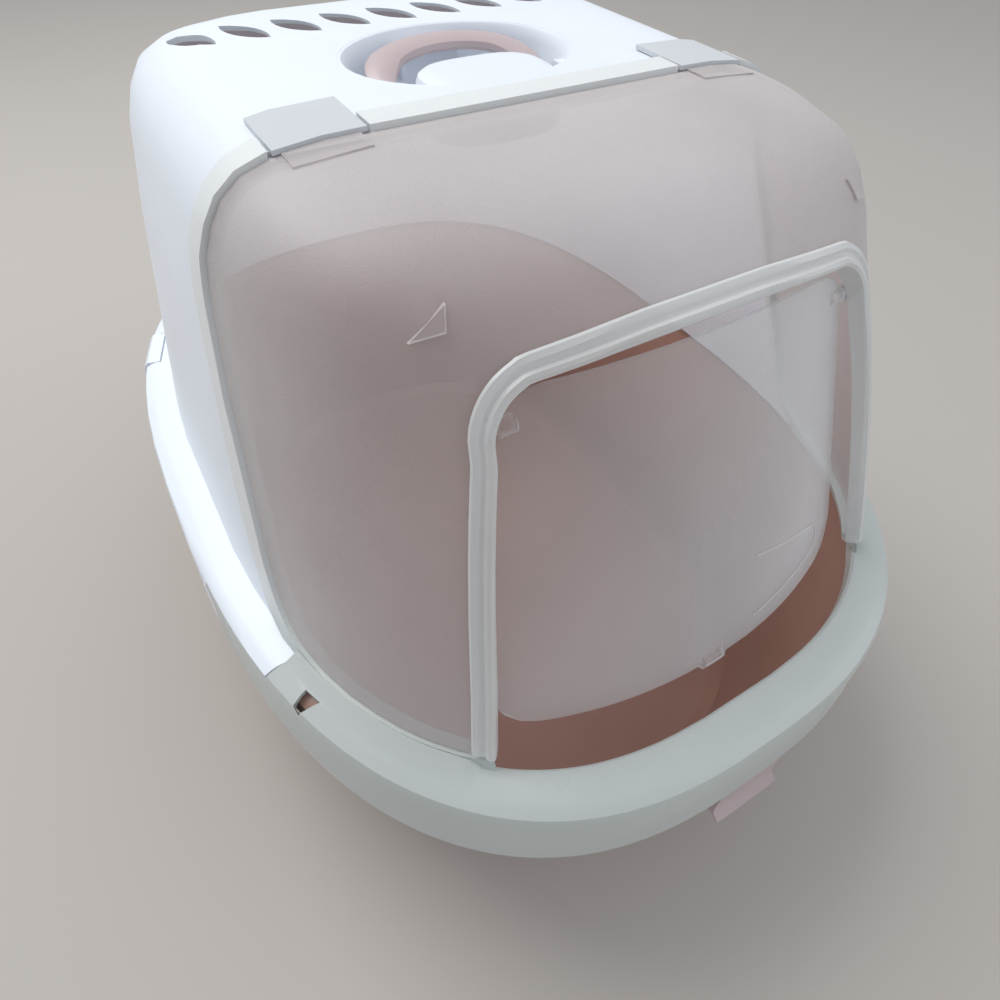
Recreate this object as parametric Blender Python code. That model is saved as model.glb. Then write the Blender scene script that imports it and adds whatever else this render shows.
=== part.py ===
"""Hooded cat litter box: tray, hood, translucent front frame, lift-up front panel
with a swinging flap, carry handle, clips and a charcoal filter in its holder.

Metres, +Z up, the front of the box faces -Y, the origin is at floor level under
the middle of the box. Dimensions are written in millimetres and scaled by MM.
"""

import math

import bmesh
import bpy
import numpy as np
from mathutils import Matrix

MM = 0.001

for old in list(bpy.data.objects):
    bpy.data.objects.remove(old, do_unlink=True)

# ---------------------------------------------------------------- main sizes
RIM_Z = 190.0            # top of the rim, where hood and front frame sit
SKIRT_Z = 147.0          # lower edge of the rim's skirt
RIM_A, RIM_B, RIM_N = 203.0, 280.0, 2.6     # outer plan of the rim
SEAM_Y = -131.0          # joint between the white flange and the front rim
ARM_Y = -62.0            # rear end of the front frame's skirt arms
WALL = 2.5               # hood wall
HINGE_Y, HINGE_Z = -57.4, 389.6             # crease of the front panel's hinge
PIN_Y, PIN_Z = -168.5, 331.0                # flap pivot axis
PANEL_T = 2.2            # front panel wall
STRIP_W = 14.0           # surround strip beside the front panel
STRIP_LAP = 9.0          # how far the strip lies over the hood
WELL_Y, WELL_A, WELL_B = 13.0, 57.0, 45.0   # oval well for the carry handle
ISLE_Y, ISLE_A, ISLE_B = -15.5, 33.0, 24.5   # raised middle of the well
GRIP_Y, GRIP_Z = -1.0, 376.5                # carry handle's pivot axis
FILTER_Y, FILTER_Z = 66.5, 375.5            # filter holder's hinge, at its front edge
VENTS, VENT_PITCH, VENT_Y = 9, 26.5, 89.5   # roof vents, their spacing and their line
VENT_TURN = math.radians(-59)               # lean of each vent
CENTRE_Y = 2.7           # puts the origin under the middle of the whole length
# The rim runs at a slant beside each side clip: its place, outward way and way along.
CLIP_AT = np.array((183.6, 159.0))
CLIP_R = np.array((0.946, 0.324))
CLIP_S = np.array((-0.324, 0.946))

# Horizontal sections of the hood: height, half width, front, rear, squareness.
SECTIONS = np.array([
    (176.0, 186.0, -262.0, 259.0, 2.70),
    (190.0, 183.0, -256.0, 254.0, 2.75),
    (230.0, 175.0, -238.5, 240.0, 2.85),
    (270.0, 167.0, -219.5, 226.0, 3.00),
    (310.0, 158.5, -199.0, 210.0, 3.20),
    (340.0, 151.5, -181.5, 195.0, 3.40),
    (355.0, 147.5, -170.0, 184.0, 3.70),
    (366.0, 142.5, -159.0, 172.0, 4.10),
    (375.0, 136.5, -147.0, 159.0, 4.50),
    (381.5, 128.5, -128.0, 145.0, 4.60),
    (385.5, 118.0, -105.0, 132.0, 4.40),
    (387.6, 105.0, -80.0, 118.0, 4.10),
    (388.4, 85.0, -47.0, 96.0, 3.70),
])

# The parting line between the surround strip and the front panel, seen from
# the side (y, z), from above the roof down to the panel's lower rear corner.
GAP = [(-57.0, 420), (-57.0, 385), (-56.0, 370), (-55.0, 356), (-58.5, 338),
       (-76.0, 297), (-95.0, 252), (-108.0, 224), (-116.5, 210), (-127.0, 201.5),
       (-142.0, 197.0), (-160.0, 195.6)]


def section(z):
    """Half width, centre y, half length and squareness of the hood at a height."""
    a, front, rear, n = (np.interp(z, SECTIONS[:, 0], SECTIONS[:, k]) for k in (1, 2, 3, 4))
    return a, (front + rear) / 2, (rear - front) / 2, n


def oval(a, b, n, t, yc=0.0):
    """Points of a superellipse, one for each angle in t (0 is +x, 90 deg is +y)."""
    c, s = np.cos(t), np.sin(t)
    x = a * np.sign(c) * np.abs(c) ** (2 / n)
    y = yc + b * np.sign(s) * np.abs(s) ** (2 / n)
    return np.stack([x, y], -1)


def hood_y(x, z):
    """The front surface of the hood at a place in front view."""
    a, yc, b, n = section(z)
    return yc - b * np.maximum(1 - np.minimum(np.abs(x) / a, 1) ** n, 0) ** (1 / n)


# ------------------------------------------------------------- mesh helpers
def from_bmesh(name, bm):
    """An object made of a bmesh whose coordinates are in millimetres."""
    bmesh.ops.scale(bm, vec=(MM, MM, MM), verts=bm.verts)
    bmesh.ops.recalc_face_normals(bm, faces=bm.faces)
    mesh = bpy.data.meshes.new(name)
    bm.to_mesh(mesh)
    bm.free()
    obj = bpy.data.objects.new(name, mesh)
    bpy.context.scene.collection.objects.link(obj)
    return obj


def loft(name, loops):
    """A solid skinned over a row of closed loops with equal point counts, capped at both ends."""
    bm = bmesh.new()
    rings = [[bm.verts.new([float(c) for c in p]) for p in loop] for loop in loops]
    for low, high in zip(rings, rings[1:]):
        for k, vert in enumerate(low):
            near = (k + 1) % len(low)
            bm.faces.new((vert, low[near], high[near], high[k]))
    bm.faces.new(rings[0][::-1])
    bm.faces.new(rings[-1])
    return from_bmesh(name, bm)


def sheet(name, outer, inner):
    """A solid between two grids of points (rows, columns, xyz), lofted column by column."""
    return loft(name, [np.concatenate([outer[:, k], inner[::-1, k]]) for k in range(outer.shape[1])])


def prism(name, outline, axis, low, high):
    """A flat outline given thickness along an axis: 0 takes (y, z), 1 takes (x, z), 2 takes (x, y)."""
    flat = bpy.data.curves.new(name, "CURVE")
    flat.dimensions = "2D"
    flat.fill_mode = "BOTH"
    flat.extrude = (high - low) / 2
    line = flat.splines.new("POLY")
    line.points.add(len(outline) - 1)
    line.use_cyclic_u = True
    for point, (u, v) in zip(line.points, outline):
        point.co = (u, v, 0, 1)
    drawn = bpy.data.objects.new(name, flat)
    bpy.context.scene.collection.objects.link(drawn)
    filled = bpy.data.meshes.new_from_object(drawn.evaluated_get(bpy.context.evaluated_depsgraph_get()))
    bpy.data.objects.remove(drawn, do_unlink=True)
    bm = bmesh.new()
    bm.from_mesh(filled)
    bpy.data.meshes.remove(filled)
    bmesh.ops.remove_doubles(bm, verts=bm.verts, dist=0.001)
    middle = (low + high) / 2
    for vert in bm.verts:
        u, v, w = vert.co.x, vert.co.y, vert.co.z + middle
        vert.co = [(w, u, v), (u, w, v), (u, v, w)][axis]
    return from_bmesh(name, bm)


def box(name, x0, x1, y0, y1, z0, z1):
    """A block between two corners."""
    bm = bmesh.new()
    bmesh.ops.create_cube(bm, size=1.0)
    bmesh.ops.scale(bm, vec=(abs(x1 - x0), y1 - y0, z1 - z0), verts=bm.verts)
    bmesh.ops.translate(bm, vec=((x0 + x1) / 2, (y0 + y1) / 2, (z0 + z1) / 2), verts=bm.verts)
    return from_bmesh(name, bm)


def rod(name, x0, x1, y, z, radius, sides=16):
    """A cylinder along X between two places."""
    bm = bmesh.new()
    bmesh.ops.create_cone(bm, cap_ends=True, segments=sides, radius1=radius, radius2=radius,
                          depth=abs(x1 - x0), matrix=Matrix.Rotation(math.pi / 2, 4, "Y"))
    bmesh.ops.translate(bm, vec=((x0 + x1) / 2, y, z), verts=bm.verts)
    return from_bmesh(name, bm)


def combine(obj, other, how="DIFFERENCE"):
    """One exact Boolean, applied at once; the other object is used up."""
    mod = obj.modifiers.new("cut", "BOOLEAN")
    mod.operation, mod.solver, mod.object = how, "EXACT", other
    mesh = bpy.data.meshes.new_from_object(obj.evaluated_get(bpy.context.evaluated_depsgraph_get()))
    obj.modifiers.clear()
    old, obj.data = obj.data, mesh
    bpy.data.meshes.remove(old)
    bpy.data.objects.remove(other, do_unlink=True)
    return obj


def clean(obj, merge=0.02, angle=2.0):
    """Merges stray points and flat slivers, then shades the soft edges smooth."""
    bm = bmesh.new()
    bm.from_mesh(obj.data)
    bmesh.ops.remove_doubles(bm, verts=bm.verts, dist=merge * MM)
    bmesh.ops.dissolve_degenerate(bm, edges=bm.edges, dist=merge * MM)
    bmesh.ops.dissolve_limit(bm, angle_limit=math.radians(angle), verts=bm.verts,
                             edges=bm.edges, delimit=set())
    bmesh.ops.triangulate(bm, faces=bm.faces)
    bmesh.ops.dissolve_degenerate(bm, edges=bm.edges, dist=merge * MM)
    bmesh.ops.delete(bm, geom=[v for v in bm.verts if not v.link_faces], context="VERTS")
    bmesh.ops.recalc_face_normals(bm, faces=bm.faces)
    bm.to_mesh(obj.data)
    bm.free()
    obj.data.shade_smooth()
    obj.data.set_sharp_from_angle(angle=math.radians(38))
    return obj


def curve(points, per=6):
    """A smooth line through the points."""
    pts = np.array(points, float)
    out = []
    for i in range(len(pts) - 1):
        p0, p1, p2, p3 = pts[max(i - 1, 0)], pts[i], pts[i + 1], pts[min(i + 2, len(pts) - 1)]
        for s in np.arange(per) / per:
            out.append(0.5 * (2 * p1 + (p2 - p0) * s + (2 * p0 - 5 * p1 + 4 * p2 - p3) * s * s
                              + (3 * p1 - p0 - 3 * p2 + p3) * s ** 3))
    out.append(pts[-1])
    return np.array(out)


def unit_steps(points):
    """The direction of a line at each of its points."""
    steps = np.gradient(points, axis=0)
    return steps / np.linalg.norm(steps, axis=1, keepdims=True)


def mirror_x(obj, name):
    """A mirrored copy on the other side of the middle plane."""
    mesh = obj.data.copy()
    twin = bpy.data.objects.new(name, mesh)
    bpy.context.scene.collection.objects.link(twin)
    for v in mesh.vertices:
        v.co.x = -v.co.x
    mesh.flip_normals()
    return twin


# ------------------------------------------------------ the hood's base surface
ANG = []
for q in range(4):
    # Tighter steps near the rounded corners of each quarter.
    w = np.linspace(0, 1, 19)[:-1]
    ANG += list((q + 0.5 + 0.5 * np.sign(2 * w - 1) * np.abs(2 * w - 1) ** 1.25) * math.pi / 2)
ANG = np.array(ANG)


def base_rows(low):
    """Rings of points on the hood's surface, from a height up to the roof."""
    rows = []
    for z in SECTIONS[:, 0]:
        if z >= low:
            a, yc, b, n = section(z)
            rows.append(np.column_stack([oval(a, b, n, ANG, yc), np.full(len(ANG), z)]))
    return np.array(rows)


def base_normals(rows):
    """The surface's outward direction at each of those points."""
    normals = np.cross(np.roll(rows, -1, 1) - np.roll(rows, 1, 1), np.gradient(rows, axis=0))
    normals /= np.linalg.norm(normals, axis=2, keepdims=True)
    normals[-1] = (0, 0, 1)
    normals[-2] = normals[-2] * 0.5 + np.array((0, 0, 0.5))
    return normals / np.linalg.norm(normals, axis=2, keepdims=True)


def skin(name, out, inn, foot, low=190.0):
    """A closed dome between two offsets of the hood's surface, with its lower edge at foot."""
    rows = base_rows(low)
    normals = base_normals(rows)
    outer, inner = rows + normals * out, rows + normals * inn
    outer[0, :, 2] = inner[0, :, 2] = foot
    return loft(name, list(outer[::-1]) + list(inner))


def front_block(name, dy):
    """A block that holds all of the space in front of the parting line moved forward by -dy."""
    line = curve(GAP, 4)
    step = unit_steps(line)
    moved = line + np.column_stack([-step[:, 1], step[:, 0]]) * dy
    moved[0, 1] = 420.0
    outline = [tuple(p) for p in moved] + [(-330.0, moved[-1][1]), (-330.0, 420.0)]
    return prism(name, outline, 0, -260.0, 260.0)


# ===================================================================== tray
def flat_loop(a, b, n, z, t):
    """A level superellipse, centred on the box."""
    return np.column_stack([oval(a, b, n, t), np.full(len(t), z)])


TURN = np.linspace(0, 2 * math.pi, 64, endpoint=False)
TRAY_PROFILE = [  # half width, half length, squareness, height: up the outside, over the lip, down inside
    (146, 217, 2.9, 0.0), (156, 229, 2.85, 2.5), (161, 235, 2.8, 9.0), (164, 238.5, 2.78, 25.0),
    (173, 247.5, 2.74, 90.0), (183, 257.5, 2.72, 152.0), (188.5, 263.2, 2.72, 178.5),
    (196, 271.5, 2.6, 180.8), (198, 273.5, 2.6, 174.8), (199.8, 275.4, 2.6, 174.8),
    (198.4, 274.0, 2.6, 183.6), (195.0, 270.8, 2.6, 185.8), (189.0, 264.2, 2.68, 186.0),
    (186.6, 260.8, 2.75, 184.4), (180.2, 254.7, 2.72, 152.0), (170.2, 244.8, 2.74, 90.0),
    (161.2, 235.8, 2.78, 27.0), (157.5, 231.5, 2.8, 12.0), (150, 223, 2.85, 4.6), (140, 213, 2.9, 3.0)]
tray = loft("base_tray", [flat_loop(a, b, n, z, TURN) for a, b, n, z in TRAY_PROFILE])
# A bracket under the lip that the front clip catches.
combine(tray, prism("bracket", [(-252.0, 130.2), (-271.1, 130.2), (-271.1, 134.5), (-252.0, 146.0)], 0, -15, 15),
        "UNION")
clean(tray, angle=0.6)


# =============================================================== hood shell
def rim_curve(off, z, t):
    """The rim's outer edge, moved outwards by off."""
    return flat_loop(RIM_A + off, RIM_B + off, RIM_N, z, t)


def foot_curve(off, z, t):
    """The foot of the hood's walls, moved outwards by off."""
    a, yc, b, n = section(RIM_Z)
    return np.column_stack([oval(a + off, b + off, n, t, yc), np.full(len(t), z)])


def between(t, share, z):
    """A line on the rim's top, part of the way from the hood's foot to the rim's edge."""
    return foot_curve(0, z, t) * (1 - share) + rim_curve(0, z, t) * share


hood = skin("hood_shell", 0.0, -WALL, 186.6)
combine(hood, front_block("strip_side", STRIP_W - STRIP_LAP))
combine(hood, box("front_half", -230, 230, -300, SEAM_Y + 0.4, 150, 200))

# The white flange: from the hood's wall out to the rim, then down as a skirt.
T_REAR = np.linspace(math.radians(-30), math.radians(210), 84)
flange_top = np.array([
    foot_curve(-1.6, 190.2, T_REAR), foot_curve(2.0, 190.2, T_REAR), between(T_REAR, 0.6, 189.7),
    rim_curve(-4.5, 188.6, T_REAR), rim_curve(-1.2, 186.6, T_REAR), rim_curve(0, 183.0, T_REAR),
    rim_curve(1.6, 160.0, T_REAR), rim_curve(3.0, SKIRT_Z, T_REAR)])
flange_under = np.array([
    foot_curve(-1.6, 187.4, T_REAR), foot_curve(2.0, 187.4, T_REAR), between(T_REAR, 0.6, 187.0),
    rim_curve(-5.5, 186.3, T_REAR), rim_curve(-3.4, 184.8, T_REAR), rim_curve(-2.4, 182.0, T_REAR),
    rim_curve(-0.9, 160.0, T_REAR), rim_curve(0.6, SKIRT_Z, T_REAR)])
flange = sheet("flange", flange_top, flange_under)
combine(flange, box("front_half", -260, 260, -300, SEAM_Y + 0.4, 100, 210))
combine(flange, box("arm_room", -260, 260, -300, ARM_Y, 100, 186.2))
combine(hood, flange, "UNION")


def at_clip(obj):
    """Moves a shape drawn as (outwards, along the rim, up) to the right-hand clip's place."""
    turn = np.column_stack([(*CLIP_R, 0), (*CLIP_S, 0), (0, 0, 1)])
    obj.data.transform(Matrix.Translation((CLIP_AT[0] * MM, CLIP_AT[1] * MM, 0)) @ Matrix(turn).to_4x4())
    return obj


# Openings for the two side clips.
slot = at_clip(box("slot", -12.5, 12, -18, 18, 130, 200))
combine(hood, mirror_x(slot, "slot_left"))
combine(hood, slot)

# The vented band at the back of the roof lies a step lower than the rest.
combine(hood, prism("band", [(-118, 61), (118, 61), (124, 66), (124, 190), (-124, 190), (-124, 66)],
                    2, 387.3, 400))
# Nine leaf-shaped vents, all leaning the same way.
half_leaf = [(-17 + 34 * s, 7.2 * math.sin(math.pi * s) ** 0.75) for s in np.linspace(0, 1, 9)]
leaf = half_leaf + [(-x, -y) for x, y in half_leaf[1:-1]]
ca, sa = math.cos(VENT_TURN), math.sin(VENT_TURN)
for k in range(VENTS):
    cx = VENT_PITCH * (k - (VENTS - 1) / 2)
    vent = [(cx + x * ca - y * sa, VENT_Y + x * sa + y * ca) for x, y in leaf]
    combine(hood, prism("vent", vent, 2, 376, 400))

# The oval handle well; its middle rises to the level of the roof, between the handle's arms.
T_WELL = np.linspace(0, 2 * math.pi, 40, endpoint=False)


def well_loop(share, z):
    """One level ring of the well, at a share of its full size."""
    x, y = WELL_A * share * np.cos(T_WELL), WELL_B * share * np.sin(T_WELL)
    return np.column_stack([x, WELL_Y + y, np.full(len(T_WELL), z)])


def island(inset, z):
    """One level ring of the raised middle of the well, drawn in from its full size."""
    return np.column_stack([oval(ISLE_A - inset, ISLE_B - inset, 3.0, T_WELL, ISLE_Y), np.full(len(T_WELL), z)])


WELL_PROFILE = [  # share of the full oval, height: across the floor, up the wall, back under it
    (0.12, 367.2), (0.3, 367.1), (0.5, 367.0), (0.68, 367.0), (0.82, 367.8), (0.9, 370.0), (0.935, 375.0),
    (0.955, 383.0), (0.98, 387.0), (1.0, 388.3), (1.065, 388.2), (1.065, 386.2), (1.0, 383.8), (0.985, 375.0),
    (0.95, 368.4), (0.86, 365.2), (0.7, 364.6), (0.5, 364.6), (0.3, 364.7), (0.12, 364.8)]
combine(hood, prism("well_hole", [((WELL_A + 1.6) * math.cos(t), WELL_Y + (WELL_B + 1.6) * math.sin(t))
                                  for t in T_WELL], 2, 370, 400))
combine(hood, loft("well", [well_loop(f, z) for f, z in WELL_PROFILE]), "UNION")
combine(hood, loft("island", [island(inset, z) for inset, z in (
    (0.0, 366.0), (0.4, 383.0), (1.4, 386.0), (3.6, 387.7), (7.0, 388.1))]), "UNION")
combine(hood, loft("island_hollow", [island(inset, z) for inset, z in (
    (2.4, 355.0), (2.6, 382.0), (4.6, 385.2))]))
# A ledge at the back of the well carries the folded handle.
combine(hood, box("ledge", -15, 15, 43.0, 57.5, 365.5, 383.2), "UNION")
# Two blocks in the well take the handle's pivot pins.
for side in (-1, 1):
    x0, x1 = sorted((side * 46.8, side * 54.5))
    post = [(GRIP_Y - 5, 366.0), (GRIP_Y + 5, 366.0), (GRIP_Y + 5, 378.5), (GRIP_Y + 2.5, 381.5),
            (GRIP_Y - 2.5, 381.5), (GRIP_Y - 5, 378.5)]
    combine(hood, prism("post", post, 0, x0, x1), "UNION")
    combine(hood, rod("pin_hole", side * 45.0, side * 52.0, GRIP_Y, GRIP_Z, 2.7))
clean(hood)

# ============================================================== front frame
frame = skin("front_frame", 2.3, 0.45, 187.0)
lip = skin("lip", 0.6, -6.0, 187.0)
combine(lip, front_block("lip_zone", 4.4), "INTERSECT")
combine(frame, front_block("strip_zone", STRIP_W), "INTERSECT")
combine(frame, lip, "UNION")
combine(frame, box("door_room", -117.5, 117.5, -330, -150, 180, 200))
combine(frame, front_block("panel_zone", 0.5))
combine(frame, box("flange_room", -260, 260, SEAM_Y - 0.4, 300, 150, 190.6))
for side in (-1, 1):  # room for the two hinge plates
    x0, x1 = sorted((side * 75.6, side * 115.6))
    combine(frame, box("plate_room", x0, x1, -62, -30, 384.0, 400))
# The rim: threshold lip, raised foot beside the door, broad top, roll and skirt.
T_FRONT = np.linspace(math.radians(162), math.radians(378), 110)
beside_door = np.clip((np.abs(foot_curve(0, RIM_Z, T_FRONT)[:, 0]) - 121.0) / 6.0, 0, 1)
raised = (beside_door ** 2 * (3 - 2 * beside_door))[:, None] * np.array([[0, 0, 1.0]])


def rim_line(which, off, z, rise=0.0):
    """A line along the front rim, raised by rise beside the doorway."""
    return (foot_curve if which == "foot" else rim_curve)(off, z, T_FRONT) + raised * rise


rim_top = np.array([
    rim_line("foot", -1.0, 181.5, 2.0), rim_line("foot", -0.8, 188.4, 5.0), rim_line("foot", 0.4, 189.8, 5.4),
    rim_line("foot", 3.0, 190.2, 4.2), rim_line("foot", 7.0, 190.2, 1.0), between(T_FRONT, 0.62, RIM_Z),
    rim_line("rim", -5.0, 188.8), rim_line("rim", -1.6, 186.9), rim_line("rim", 0.0, 183.0),
    rim_line("rim", 1.6, 160.0), rim_line("rim", 3.0, SKIRT_Z)])
rim_under = np.array([
    rim_line("foot", 1.4, 181.5, 2.0), rim_line("foot", 1.5, 186.2, 4.6), rim_line("foot", 2.2, 187.2, 4.0),
    rim_line("foot", 4.0, 187.5, 2.4), rim_line("foot", 7.0, 187.6, 0.6), between(T_FRONT, 0.62, 187.4),
    rim_line("rim", -5.8, 186.4), rim_line("rim", -3.6, 185.0), rim_line("rim", -2.4, 182.2),
    rim_line("rim", -0.9, 160.0), rim_line("rim", 0.6, SKIRT_Z)])
rim = sheet("rim", rim_top, rim_under)
combine(rim, box("rear", -260, 260, ARM_Y - 0.4, 300, 100, 230))
combine(rim, box("rear_top", -260, 260, SEAM_Y - 0.4, 300, 185.7, 230))
inside = loft("inside", [flat_loop(RIM_A - 3.6, RIM_B - 3.6, RIM_N, z, TURN) for z in (140, 230)])
combine(inside, box("rear_inside", -260, 260, SEAM_Y - 0.4, 300, 150, 230), "INTERSECT")
combine(rim, inside)
combine(frame, rim, "UNION")
for side in (-1, 1):  # three-cornered catch holes beside the strip
    catch = [(side * 176.0, -149.5), (side * 172.5, -159.0), (side * 183.5, -157.0), (side * 184.0, -152.0)]
    combine(frame, prism("catch", catch, 2, 180, 205))
clean(frame)

# ============================================================== front panel
panel = skin("front_panel", 0.0, -PANEL_T, 190.0)
combine(panel, front_block("panel_zone", -0.35), "INTERSECT")


def door_half(grow):
    """Right-hand half of the doorway's outline in front view, from its foot to the middle of its top."""
    side = [(122.5, 196.0), (111.3, 266.0), (103.3, 306.0), (98.4, 325.0)]
    corner_x, corner_z, radius = 70.0, 327.0, 28.0
    arc = [(corner_x + (radius + grow) * math.cos(a), corner_z + (radius + grow) * math.sin(a))
           for a in np.radians((14, 28, 42, 56, 70, 82))]
    return [(x + grow, z) for x, z in side] + arc + [(55.0, 356.0 + grow), (28.0, 357.0 + grow)]


def door_outline(grow):
    """The whole outline, grown by grow, from the right foot over the top to the left foot."""
    half = door_half(grow)
    return half + [(0.0, 357.2 + grow)] + [(-x, z) for x, z in half[::-1]]


doorway = door_outline(-3.0)
foot_x = doorway[0][0] + 2.3
combine(panel, prism("doorway", [(foot_x, 150.0)] + doorway + [(-foot_x, 150.0)], 1, -330, -120))
# Slightly raised pads where the hinge plates meet the panel.
pads = skin("pads", 0.8, -1.2, 300.0, low=310.0)
pad_zone = box("right_pad", 80, 111, -70, HINGE_Y - 0.4, 370, 400)
combine(pad_zone, box("left_pad", -111, -80, -70, HINGE_Y - 0.4, 370, 400), "UNION")
combine(pads, pad_zone, "INTERSECT")
combine(panel, pads, "UNION")
# A three-cornered rib on each shoulder.
for side in (-1, 1):
    corners = [(side * 93, 370.0), (side * 96, 363.5), (side * 107.5, 361.0)]
    sunk = [(x, hood_y(x, z) + 1.6, z) for x, z in corners]
    proud = [(x, hood_y(x, z) - 1.3, z + 0.5) for x, z in corners]
    combine(panel, loft("rib", [sunk, proud]), "UNION")
clean(panel)

# =============================================================== door frame
# A channel round the doorway with a ridge, held over the panel's edge.
path = curve(door_outline(-2.4), 2)
path[0, 1] = path[-1, 1] = 197.6
tangent = unit_steps(path)
away = np.column_stack([tangent[:, 1], -tangent[:, 0]])
CHANNEL = [  # across the channel (outwards positive), height above the panel
    (3.3, 0.6), (3.9, 1.4), (3.2, 2.4), (1.6, 2.6), (0.6, 1.7), (-0.6, 1.7), (-1.6, 3.0), (-3.0, 3.1),
    (-4.0, 2.2), (-4.3, 0.0), (-4.3, -4.6), (-3.6, -5.2), (-2.6, -4.6), (-2.5, -2.9), (-1.4, -2.9), (-1.4, 0.6),
    (1.0, 0.7)]


def off_panel(x, z, height):
    """A point at a height above the hood's front surface."""
    slope_x = hood_y(x + 0.5, z) - hood_y(x - 0.5, z)
    slope_z = hood_y(x, z + 0.5) - hood_y(x, z - 0.5)
    normal = np.array((slope_x, -1.0, slope_z))
    return np.array((x, hood_y(x, z), z)) + normal / np.linalg.norm(normal) * height


loops = [[off_panel(*(place + out * across), height) for across, height in CHANNEL]
         for place, out in zip(path, away)]
door_frame = loft("door_frame", loops)
combine(door_frame, box("below", -200, 200, -330, 0, 150, 196.2))
# Sockets behind the jambs for the flap's pins.
for side in (-1, 1):
    combine(door_frame, rod("boss", side * 90.0, side * 93.2, PIN_Y, PIN_Z, 4.0, 20), "UNION")
    combine(door_frame, rod("socket", side * 80.0, side * 97.0, PIN_Y, PIN_Z, 2.7))
clean(door_frame)


# =============================================================== swing flap
def flap_y(x, z):
    """Rear face of the flap, which leans forward and bows out towards its middle."""
    drop = PIN_Z - z
    bow = 10.0 + drop * 0.101
    return PIN_Y - drop * 0.312 - bow * (1 - np.minimum(np.abs(x) / (88.0 + drop * 0.152), 1.25) ** 2.2)


grid_x, grid_z = np.meshgrid(np.linspace(-114, 114, 31), np.linspace(352, 186, 20))
rear = np.stack([grid_x, flap_y(grid_x, grid_z), grid_z], -1)
facing = np.cross(np.gradient(rear, axis=1), np.gradient(rear, axis=0))
facing *= (np.sign(facing[..., 1]) / np.linalg.norm(facing, axis=2))[..., None]
flap = sheet("swing_flap", rear, rear + facing * 1.8)
flap_half = [(6.5, 190.2), (9.0, 193.3), (90.0, 194.3), (98.5, 196.0), (104.5, 200.5), (107.2, 207.0),
             (107.0, 214.0), (86.8, 331.0), (85.2, 335.0), (81.0, 339.2), (74.5, 341.8), (66.0, 342.8)]
combine(flap, prism("flap_outline", flap_half + [(-x, z) for x, z in flap_half[::-1]], 1, -330, -100), "INTERSECT")
for side in (-1, 1):
    combine(flap, rod("hub", side * 79.0, side * 86.4, PIN_Y, PIN_Z, 3.5), "UNION")
    combine(flap, rod("pin", side * 84.0, side * 93.0, PIN_Y, PIN_Z, 2.1), "UNION")
# A raised pull at the lower edge.
pull_y = flap_y(0.0, 197.0)
combine(flap, prism("pull", [(pull_y + 1.2, 191.0), (pull_y - 3.0, 192.0), (pull_y - 3.6, 194.5),
                             (pull_y - 2.4, 196.5), (pull_y + 1.2, 199.0)], 0, -6.0, 6.0), "UNION")
# A shallow D-shaped rib moulded low on one side.
ridge = curve([(28, 203.5), (78, 206.5), (86, 211), (84, 219), (74, 224.5), (30, 236)], 4)
ridge_step = unit_steps(ridge)
loops = []
for (x, z), (tx, tz) in zip(ridge, ridge_step):
    loops.append([(x - tz * u, flap_y(x - tz * u, z + tx * u) + h, z + tx * u)
                  for u, h in ((-0.8, 0.9), (-0.5, -0.7), (0.5, -0.7), (0.8, 0.9))])
combine(flap, loft("ridge", loops), "UNION")
clean(flap)

# ============================================================= hinge plates
plate = skin("hinge_plate_right", 2.2, 0.35, 300.0, low=310.0)
combine(plate, box("plate_zone", 77, 114, HINGE_Y + 0.4, -24, 370, 400), "INTERSECT")
clean(plate)
plate_left = mirror_x(plate, "hinge_plate_left")

# ============================================================= carry handle
half_bar = [(40.3, GRIP_Y - 2.5, GRIP_Z - 0.2), (40.3, GRIP_Y, GRIP_Z), (40.3, 8.0, 378.6), (38.0, 19.0, 381.8),
            (30.0, 29.5, 384.6), (16.0, 36.0, 386.0)]
bar = curve(half_bar + [(0.0, 38.0, 386.4)] + [(-x, y, z) for x, y, z in half_bar[::-1]], 3)
CHANNEL_BAR = [(-1, -1.4), (-0.95, 1.0), (-0.6, 2.5), (0, 3.0), (0.6, 2.5), (0.95, 1.0), (1, -1.4), (0.92, -2.7),
               (0.76, -2.7), (0.62, -0.5), (-0.62, -0.5), (-0.76, -2.7), (-0.92, -2.7)]
loops = []
for place, along in zip(bar, unit_steps(bar)):
    across = np.cross(along, (0, 0, 1))
    across /= np.linalg.norm(across)
    up = np.cross(across, along)
    half = 5.0 + 3.2 * min(1.0, max(0.0, (place[1] - 7.0) / 14.0))
    loops.append([place + across * u * half + up * v for u, v in CHANNEL_BAR])
handle = loft("carry_handle", loops)
for side in (-1, 1):
    combine(handle, rod("pin", side * 37.0, side * 51.0, GRIP_Y, GRIP_Z - 0.2, 2.1), "UNION")
clean(handle)

# =============================================================== front clip
# Hangs from the skirt at the middle of the front and reaches towards the tray's bracket.
skirt_y = -(RIM_B + 3.0)
clip_side = [(skirt_y + 0.1, SKIRT_Z - 1.2), (skirt_y - 0.5, 131.0), (skirt_y - 1.5, 126.5),
             (skirt_y - 5.5, 122.0), (skirt_y - 4.6, 120.6), (skirt_y + 0.6, 123.4), (skirt_y + 9.5, 125.2),
             (skirt_y + 9.5, 127.0), (skirt_y + 6.5, 128.8), (skirt_y + 2.2, 128.8),
             (skirt_y + 2.5, SKIRT_Z - 1.2)]
loops = []
for x in np.linspace(-21, 21, 9):
    back = RIM_B * (1 - (1 - (abs(x) / RIM_A) ** RIM_N) ** (1 / RIM_N))
    rise = 2.0 * max(0.0, (abs(x) - 15) / 6) ** 2
    loops.append([(x, y + back, z + (rise if z < 124 else 0)) for y, z in clip_side])
front_clip = loft("front_clip", loops)
clean(front_clip)

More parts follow.
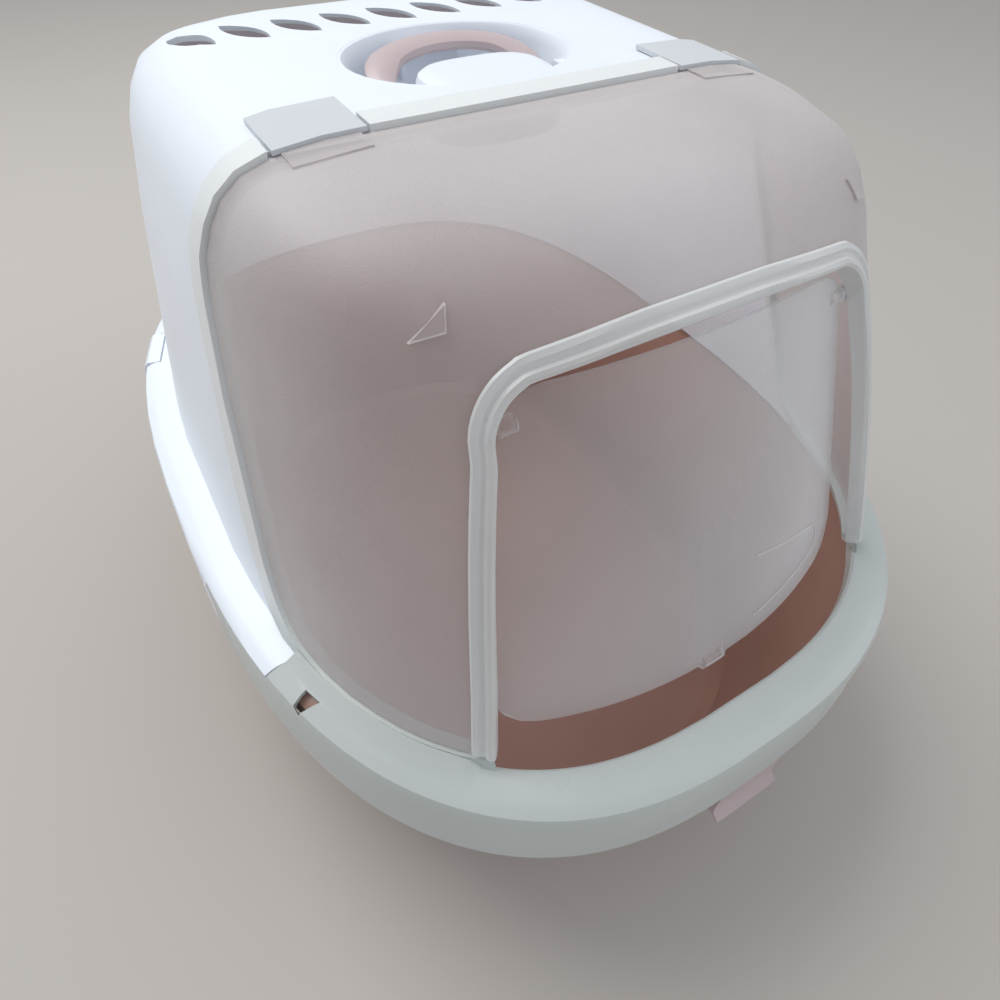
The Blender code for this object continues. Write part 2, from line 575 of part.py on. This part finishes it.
# =============================================================== side clips
side_outline = [(-11.8, 187.8), (-4.8, 187.2), (-2.5, 185.0), (-1.6, 181.0), (-0.4, 175.4), (-2.9, 174.2),
                (-2.9, 172.0), (-0.2, 169.5), (0.8, 152.0), (4.4, 146.8), (5.8, 148.0), (3.2, 153.5),
                (2.6, 160.0), (1.2, 181.0), (0.2, 186.0), (-3.0, 189.6), (-11.2, 189.8)]
clip_right = at_clip(prism("side_clip_right", side_outline, 1, -17.3, 17.3))
clean(clip_right)
clip_left = mirror_x(clip_right, "side_clip_left")

# =================================================================== filter
holder = box("filter_holder", -108, 108, 66.5, 108, 371.2, 379.0)
combine(holder, box("bed", -105.6, 105.6, 68.9, 95.2, 373.6, 390))
combine(holder, box("channel", -105.6, 105.6, 101.0, 105.8, 373.6, 390))
for k in range(-4, 5):
    combine(holder, box("window", k * 23.2 - 8.8, k * 23.2 + 8.8, 71.5, 93.0, 365, 390))
combine(holder, box("slit", -99, 99, 102.2, 104.8, 365, 390))
for side in (-1, 1):
    x0, x1 = sorted((side * 50, side * 64))
    combine(holder, box("notch", x0, x1, 64, 68, 376.0, 390))
clean(holder)
charcoal = clean(box("charcoal_filter", -104.8, 104.8, 69.6, 94.6, 374.0, 378.2))


# ================================================= materials, tree and places
def plastic(name, colour, roughness, clear=0.0):
    """A Principled material; clear is how much light passes straight through."""
    made = bpy.data.materials.new(name)
    made.use_nodes = True
    shader = made.node_tree.nodes["Principled BSDF"]
    shader.inputs["Base Color"].default_value = (*colour, 1.0)
    shader.inputs["Roughness"].default_value = roughness
    shader.inputs["Metallic"].default_value = 0.0
    shader.inputs["Transmission Weight"].default_value = clear
    return made


def empty(name, place, parent=None):
    """A parent for pieces, at a place in millimetres from its own parent."""
    made = bpy.data.objects.new(name, None)
    parts.objects.link(made)
    made.parent = parent
    made.location = [c * MM for c in place]
    return made


def settle(obj, parent, colour, roughness, clear=0.0, pivot=(0, 0, 0)):
    """Gives an object its material, its origin at its pivot and its place under its parent."""
    for home in list(obj.users_collection):
        home.objects.unlink(obj)
    parts.objects.link(obj)
    obj.data.name = obj.name
    obj.data.materials.clear()
    obj.data.materials.append(plastic(obj.name, colour, roughness, clear))
    pivot = np.array(pivot, float) * MM
    obj.data.transform(Matrix.Translation(-pivot))
    base = np.zeros(3)
    above = parent
    while above.parent:
        base += above.location
        above = above.parent
    obj.parent = parent
    obj.location = pivot - base
    return obj


parts = bpy.data.collections.new("cat_litter_box")
bpy.context.scene.collection.children.link(parts)
stand = empty("litter_box", (0.0, CENTRE_Y, 0.0))

WHITE, SMOKE, PINK, CLEAR = (0.80, 0.82, 0.84), (0.55, 0.58, 0.57), (0.52, 0.43, 0.44), (0.80, 0.82, 0.82)
settle(tray, stand, (0.34, 0.28, 0.25), 0.35, 0.3)
settle(hood, stand, WHITE, 0.35)
settle(frame, hood, SMOKE, 0.25, 0.4)
settle(plate, hood, WHITE, 0.3)
settle(plate_left, hood, WHITE, 0.3)
settle(panel, hood, (0.62, 0.60, 0.58), 0.45, 0.6, pivot=(0, HINGE_Y, HINGE_Z))
settle(door_frame, panel, CLEAR, 0.2, 0.5, pivot=(0, HINGE_Y, HINGE_Z))
settle(flap, panel, CLEAR, 0.1, 0.9, pivot=(0, PIN_Y, PIN_Z))
settle(handle, hood, PINK, 0.4, pivot=(0, GRIP_Y, GRIP_Z))
settle(front_clip, hood, PINK, 0.4, pivot=(0, skirt_y + 2.2, SKIRT_Z - 3.5))
hinge = CLIP_AT - CLIP_R * 12.0
settle(clip_right, hood, WHITE, 0.35, pivot=(hinge[0], hinge[1], 188.5))
settle(clip_left, hood, WHITE, 0.35, pivot=(-hinge[0], hinge[1], 188.5))
settle(holder, hood, WHITE, 0.4, pivot=(0, FILTER_Y, FILTER_Z))
settle(charcoal, holder, (0.03, 0.03, 0.03), 0.9, pivot=(0, FILTER_Y, FILTER_Z))
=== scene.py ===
"""Looks for the hooded cat litter box: materials, light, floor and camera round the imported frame."""

import math

import bpy
from mathutils import Matrix, Vector


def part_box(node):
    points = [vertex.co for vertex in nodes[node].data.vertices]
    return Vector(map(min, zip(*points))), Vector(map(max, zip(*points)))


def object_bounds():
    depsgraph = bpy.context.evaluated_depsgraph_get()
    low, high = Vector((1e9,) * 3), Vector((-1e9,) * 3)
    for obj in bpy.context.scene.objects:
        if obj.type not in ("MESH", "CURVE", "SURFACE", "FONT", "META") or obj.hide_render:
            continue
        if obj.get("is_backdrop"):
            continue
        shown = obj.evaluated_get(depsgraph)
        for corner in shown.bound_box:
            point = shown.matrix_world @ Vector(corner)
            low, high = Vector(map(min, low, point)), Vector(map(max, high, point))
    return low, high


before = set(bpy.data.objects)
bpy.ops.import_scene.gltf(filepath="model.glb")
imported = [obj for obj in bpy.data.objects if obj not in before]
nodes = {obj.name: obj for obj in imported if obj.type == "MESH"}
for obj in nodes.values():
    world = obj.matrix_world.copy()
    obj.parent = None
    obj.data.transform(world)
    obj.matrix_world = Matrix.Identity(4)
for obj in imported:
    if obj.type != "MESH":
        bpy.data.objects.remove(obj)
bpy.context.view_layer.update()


# ------------------------------------------------------------------ shading
WELD_DISTANCE = 0.00001      # metres
SHARP_ANGLE = math.radians(32)


def soft_shading():
    """A node group that joins the facets' edges and shades all but the sharp ones smooth."""
    group = bpy.data.node_groups.new("soft_shading", "GeometryNodeTree")
    group.interface.new_socket("Geometry", in_out="INPUT", socket_type="NodeSocketGeometry")
    group.interface.new_socket("Geometry", in_out="OUTPUT", socket_type="NodeSocketGeometry")
    make, link = group.nodes.new, group.links.new
    start, end = make("NodeGroupInput"), make("NodeGroupOutput")
    weld = make("GeometryNodeMergeByDistance")
    weld.inputs["Distance"].default_value = WELD_DISTANCE
    faces = make("GeometryNodeSetShadeSmooth")
    faces.domain = "FACE"
    edges = make("GeometryNodeSetShadeSmooth")
    edges.domain = "EDGE"
    edges.inputs["Shade Smooth"].default_value = False
    angle = make("GeometryNodeInputMeshEdgeAngle")
    sharp = make("FunctionNodeCompare")
    sharp.operation = "GREATER_THAN"
    sharp.inputs[1].default_value = SHARP_ANGLE
    link(start.outputs[0], weld.inputs["Geometry"])
    link(weld.outputs["Geometry"], faces.inputs["Geometry"])
    link(faces.outputs["Geometry"], edges.inputs["Geometry"])
    link(angle.outputs["Unsigned Angle"], sharp.inputs[0])
    link(sharp.outputs[0], edges.inputs["Selection"])
    link(edges.outputs["Geometry"], end.inputs[0])
    return group


smooth_group = soft_shading()
for node in nodes.values():
    node.modifiers.new("soft_shading", "NODES").node_group = smooth_group


# ---------------------------------------------------------------- materials
UPPER_START, UPPER_END = 0.20, 0.27     # shares of a piece's height where its upper colour comes in
CLOUD_SCALE = 9.0                       # how many clouds of colour there are to a metre
CLOUD_START, CLOUD_END = 0.35, 0.65
PLASTIC_IOR = 1.46
EDGE_BLEND = 0.35                       # how far the denser look of a slanted wall reaches in


def plastic(name, colour, second, roughness, grain=900.0, depth=0.04, opacity=1.0, edge_opacity=None,
            upper=None):
    """Moulded plastic: two near colours clouded together, a fine grain, and how far it is see-through.

    grain is how fine the grain is and depth how deep. opacity is how dense the plastic looks face on,
    and edge_opacity how dense it looks at a slant. upper is a paler colour that the piece takes on
    above its foot.
    """
    mat = bpy.data.materials.new(name)
    mat.use_nodes = True
    tree = mat.node_tree
    shader = tree.nodes["Principled BSDF"]
    make, link = tree.nodes.new, tree.links.new
    where = make("ShaderNodeTexCoord")
    clouds = make("ShaderNodeTexNoise")
    clouds.inputs["Scale"].default_value = CLOUD_SCALE
    clouds.inputs["Detail"].default_value = 4.0
    tint = make("ShaderNodeValToRGB")
    tint.color_ramp.elements[0].position = CLOUD_START
    tint.color_ramp.elements[1].position = CLOUD_END
    tint.color_ramp.elements[0].color = (*colour, 1)
    tint.color_ramp.elements[1].color = (*second, 1)
    fine = make("ShaderNodeTexNoise")
    fine.inputs["Scale"].default_value = grain
    fine.inputs["Detail"].default_value = 3.0
    bump = make("ShaderNodeBump")
    bump.inputs["Strength"].default_value = min(1.0, depth * 8)
    bump.inputs["Distance"].default_value = 0.001 * depth
    polish = make("ShaderNodeMapRange")
    polish.inputs["To Min"].default_value = roughness * 0.85
    polish.inputs["To Max"].default_value = min(1.0, roughness * 1.15)
    link(where.outputs["Object"], clouds.inputs["Vector"])
    link(where.outputs["Object"], fine.inputs["Vector"])
    link(clouds.outputs["Fac"], tint.inputs["Fac"])
    colour_out = tint.outputs["Color"]
    if upper:
        share = make("ShaderNodeSeparateXYZ")
        link(where.outputs["Generated"], share.inputs["Vector"])
        climb = make("ShaderNodeMapRange")
        climb.inputs["From Min"].default_value = UPPER_START
        climb.inputs["From Max"].default_value = UPPER_END
        blend = make("ShaderNodeMix")
        blend.data_type = "RGBA"
        link(share.outputs["Z"], climb.inputs["Value"])
        link(climb.outputs["Result"], blend.inputs["Factor"])
        low_colour, high_colour = [socket for socket in blend.inputs if socket.type == "RGBA"]
        high_colour.default_value = (*upper, 1)
        link(colour_out, low_colour)
        colour_out = [socket for socket in blend.outputs if socket.type == "RGBA"][0]
    link(colour_out, shader.inputs["Base Color"])
    link(fine.outputs["Fac"], bump.inputs["Height"])
    link(bump.outputs["Normal"], shader.inputs["Normal"])
    link(clouds.outputs["Fac"], polish.inputs["Value"])
    link(polish.outputs["Result"], shader.inputs["Roughness"])
    shader.inputs["IOR"].default_value = PLASTIC_IOR
    if edge_opacity is None:
        shader.inputs["Alpha"].default_value = opacity
    else:
        facing = make("ShaderNodeLayerWeight")
        facing.inputs["Blend"].default_value = EDGE_BLEND
        span = make("ShaderNodeMapRange")
        span.inputs["To Min"].default_value = opacity
        span.inputs["To Max"].default_value = edge_opacity
        link(facing.outputs["Facing"], span.inputs["Value"])
        link(span.outputs["Result"], shader.inputs["Alpha"])
    return mat


WHITE = plastic("white_hood", (0.80, 0.85, 0.92), (0.76, 0.81, 0.88), 0.38, grain=1400, depth=0.03)
PLATE = plastic("hinge_plates", (0.60, 0.63, 0.66), (0.56, 0.59, 0.62), 0.30, grain=1400, depth=0.03)
SMOKE = plastic("milky_front_frame", (0.60, 0.645, 0.63), (0.56, 0.60, 0.59), 0.28, grain=1100, depth=0.03,
                opacity=0.80, edge_opacity=0.97, upper=(0.80, 0.83, 0.84))
FROST = plastic("frosted_panel", (0.64, 0.60, 0.60), (0.58, 0.54, 0.54), 0.40, grain=1500, depth=0.25,
                opacity=0.30, edge_opacity=0.94)
MILK = plastic("clear_door_frame", (0.80, 0.82, 0.82), (0.75, 0.77, 0.77), 0.20, grain=900, depth=0.04,
               opacity=0.50, edge_opacity=0.95)
CLEAR = plastic("clear_flap", (0.80, 0.82, 0.84), (0.74, 0.76, 0.78), 0.08, grain=300, depth=0.02,
                opacity=0.09, edge_opacity=0.75)
BROWN = plastic("dusty_rose_tray", (0.36, 0.215, 0.175), (0.32, 0.192, 0.155), 0.32, grain=900, depth=0.03)
PINK = plastic("dusty_pink", (0.53, 0.44, 0.45), (0.49, 0.40, 0.41), 0.40, grain=1200, depth=0.04)
FELT = plastic("charcoal_felt", (0.03, 0.03, 0.032), (0.012, 0.012, 0.012), 0.95, grain=700, depth=0.5)
INNER = plastic("white_filter_holder", (0.70, 0.70, 0.68), (0.64, 0.64, 0.62), 0.45, grain=1200, depth=0.03)

LOOKS = {
    "base_tray": BROWN,
    "hood_shell": WHITE,
    "front_frame": SMOKE,
    "front_panel": FROST,
    "door_frame": MILK,
    "swing_flap": CLEAR,
    "carry_handle": PINK,
    "hinge_plate_left": PLATE,
    "hinge_plate_right": PLATE,
    "front_clip": PINK,
    "side_clip_left": WHITE,
    "side_clip_right": WHITE,
    "filter_holder": INNER,
    "charcoal_filter": FELT,
}
for name, look in LOOKS.items():
    slots = nodes[name].material_slots
    if not slots:
        nodes[name].data.materials.append(look)
    for slot in slots:
        slot.material = look


# -------------------------------------------------------------------- floor
FLOOR_SIZE = 12.0            # metres
FLOOR_CLOUD_SCALE = 3.0
FLOOR_ROUGHNESS = 0.75


def floor_material():
    """Warm pale grey with the faintest mottling."""
    mat = bpy.data.materials.new("floor")
    mat.use_nodes = True
    tree = mat.node_tree
    shader = tree.nodes["Principled BSDF"]
    noise = tree.nodes.new("ShaderNodeTexNoise")
    noise.inputs["Scale"].default_value = FLOOR_CLOUD_SCALE
    tint = tree.nodes.new("ShaderNodeValToRGB")
    tint.color_ramp.elements[0].color = (0.46, 0.43, 0.40, 1)
    tint.color_ramp.elements[1].color = (0.50, 0.47, 0.44, 1)
    tree.links.new(noise.outputs["Fac"], tint.inputs["Fac"])
    tree.links.new(tint.outputs["Color"], shader.inputs["Base Color"])
    shader.inputs["Roughness"].default_value = FLOOR_ROUGHNESS
    return mat


mesh = bpy.data.meshes.new("floor")
half = FLOOR_SIZE / 2
corners = [(-half, -half, 0), (half, -half, 0), (half, half, 0), (-half, half, 0)]
mesh.from_pydata(corners, [], [(0, 1, 2, 3)])
floor = bpy.data.objects.new("floor", mesh)
bpy.context.scene.collection.objects.link(floor)
mesh.materials.append(floor_material())
floor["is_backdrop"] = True

# -------------------------------------------------------------------- light
SKY_COLOUR, SKY_STRENGTH = (0.93, 0.96, 1.0, 1), 0.62
GLOW_DROP = 0.03             # how far under the roof the inner light hangs, in metres

world = bpy.data.worlds.new("studio")
bpy.context.scene.world = world
world.use_nodes = True
sky = world.node_tree.nodes["Background"]
sky.inputs["Color"].default_value = SKY_COLOUR
sky.inputs["Strength"].default_value = SKY_STRENGTH


def area_light(name, place, target, width, power, colour=(1, 1, 1)):
    """A soft square light that faces a target."""
    data = bpy.data.lights.new(name, "AREA")
    data.size, data.energy, data.color = width, power, colour
    lamp = bpy.data.objects.new(name, data)
    lamp.location = place
    lamp.rotation_euler = (Vector(target) - Vector(place)).to_track_quat("-Z", "Y").to_euler()
    bpy.context.scene.collection.objects.link(lamp)
    return lamp


low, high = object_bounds()
middle = (low + high) / 2
area_light("key", (-0.5, 0.9, 1.9), middle, width=1.2, power=26, colour=(1.0, 0.99, 0.97))
# The real hood is thin white plastic that glows inside; this soft light stands in for that glow.
roof_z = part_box("hood_shell")[1].z
glow = area_light("inside_glow", (0, middle.y + 0.03, roof_z - GLOW_DROP), (0, middle.y + 0.02, 0),
                  width=0.2, power=0.45, colour=(1.0, 0.97, 0.96))
glow.visible_camera = False
glow.visible_glossy = False
area_light("fill", (1.6, -1.4, 1.5), middle, width=1.6, power=10, colour=(0.95, 0.97, 1.0))

# ------------------------------------------------------------------- camera
EYE = Vector((-0.1737, -0.3072, 0.4860))
YAW, PITCH, ROLL = 0.5671, 0.8563, 0.0349     # turn to the right, tilt down and lean, in radians
FOCAL = 0.6616                                # focal length as a share of the picture's width

ahead = Vector((math.sin(YAW) * math.cos(PITCH), math.cos(YAW) * math.cos(PITCH), -math.sin(PITCH)))
level = Vector((math.cos(YAW), -math.sin(YAW), 0))
upright = level.cross(ahead)
right = math.cos(ROLL) * level + math.sin(ROLL) * upright
above = math.cos(ROLL) * upright - math.sin(ROLL) * level
lens = bpy.data.cameras.new("camera")
lens.sensor_width = 36.0
lens.lens = FOCAL * lens.sensor_width
lens.clip_start = 0.01
camera = bpy.data.objects.new("camera", lens)
camera.matrix_world = Matrix.Translation(EYE) @ Matrix((right, above, -ahead)).transposed().to_4x4()
bpy.context.scene.collection.objects.link(camera)
bpy.context.scene.camera = camera
bpy.context.scene.view_settings.view_transform = "Standard"
